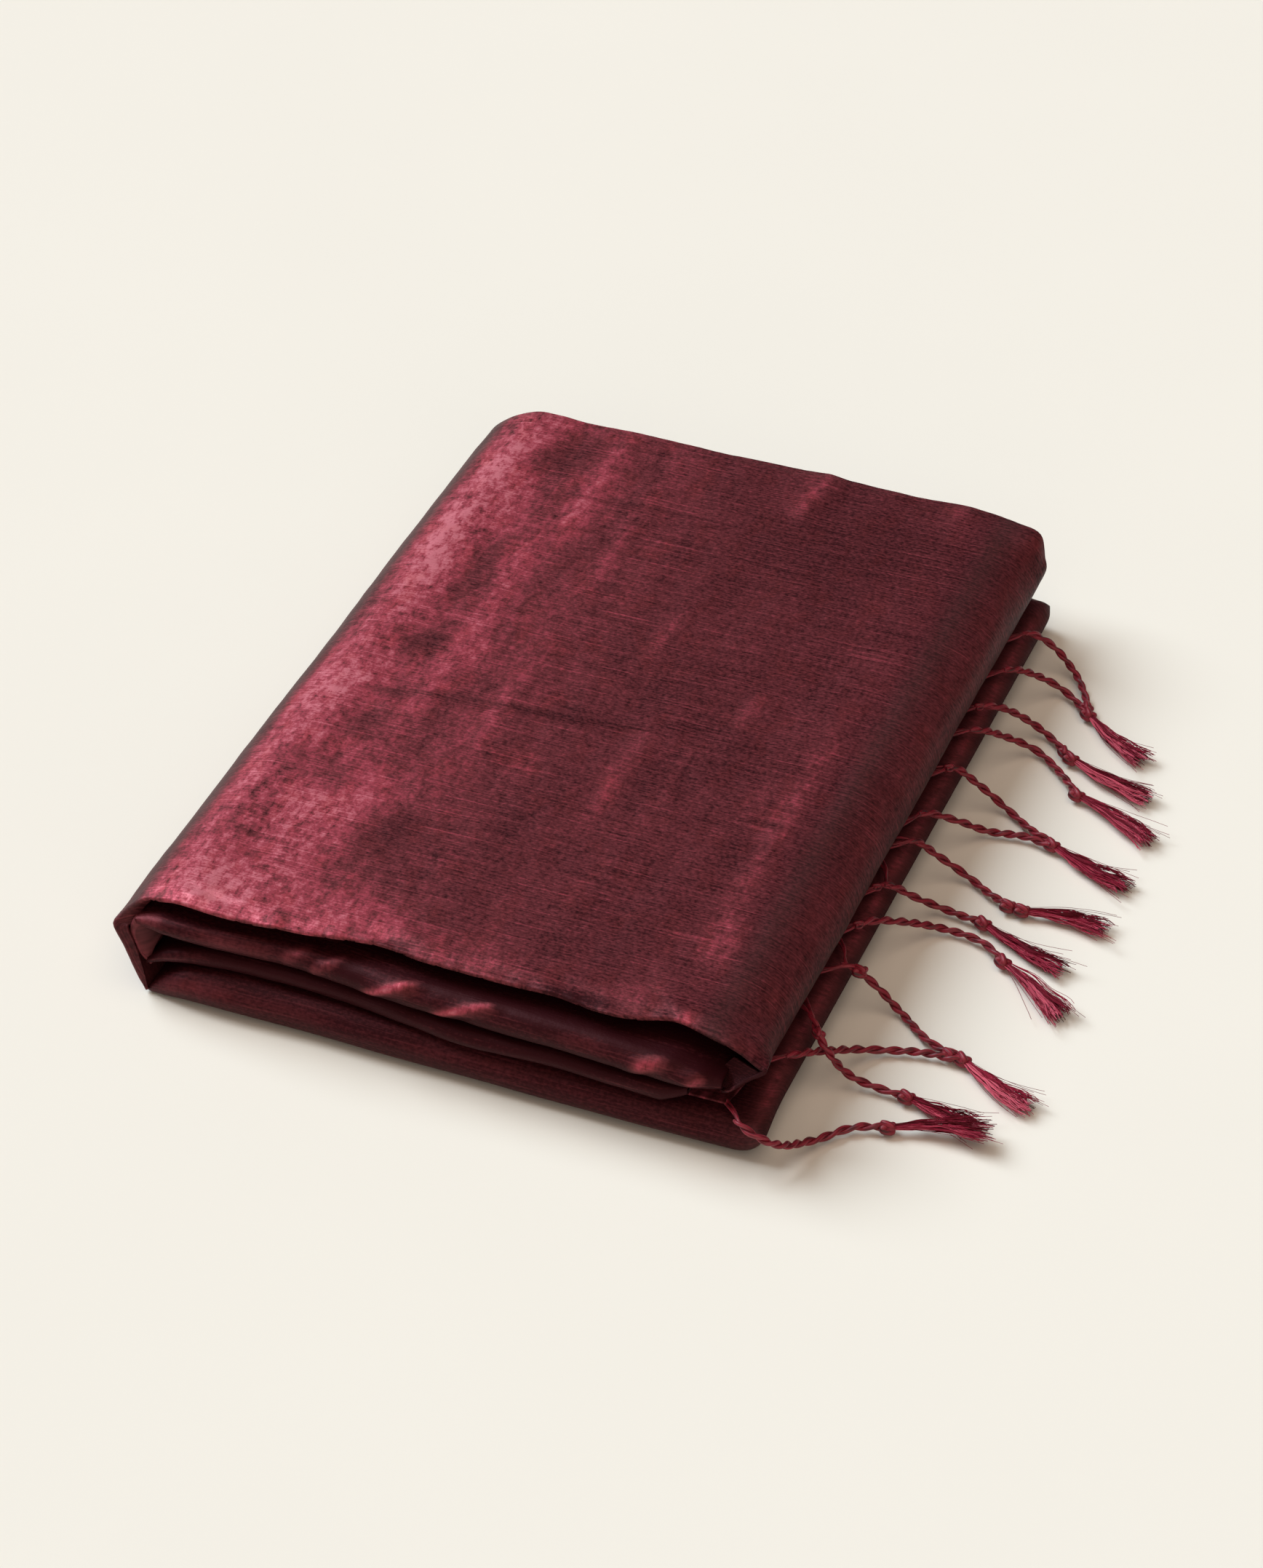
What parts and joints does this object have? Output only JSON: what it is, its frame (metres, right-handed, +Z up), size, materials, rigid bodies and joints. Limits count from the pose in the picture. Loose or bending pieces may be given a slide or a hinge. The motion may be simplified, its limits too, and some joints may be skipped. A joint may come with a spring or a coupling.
{
  "type": "folded saree",
  "caption": "Silk saree folded into a flat packet, with its tasselled end's twisted cords and brushes lying out on the table along one side.",
  "frame": {"origin": "middle of the folded packet's flat underside, on the table", "axes": "+Z up, +X across the packet towards the tassels, +Y from the near end with the open folds to the far end"},
  "size_m": [0.3567, 0.3807, 0.0511],
  "materials": {
    "shot_silk": "fine plain weave with a metallic sheen",
    "fringe_silk": "two-ply twisted silk cord and loose yarn ends"
  },
  "bodies": {
    "root": {"base_fold": "shot_silk", "hidden_layers": "shot_silk", "lower_fold": "shot_silk", "upper_fold": "shot_silk", "far_lower_fold": "shot_silk", "far_upper_fold": "shot_silk", "inner_spine": "shot_silk", "outer_wrap": "shot_silk", "pallu_edge": "shot_silk", "tassel_01": "fringe_silk", "tassel_02": "fringe_silk", "tassel_03": "fringe_silk", "tassel_04": "fringe_silk", "tassel_05": "fringe_silk", "tassel_06": "fringe_silk", "tassel_07": "fringe_silk", "tassel_08": "fringe_silk", "tassel_09": "fringe_silk", "tassel_10": "fringe_silk"}
  },
  "joints": []
}
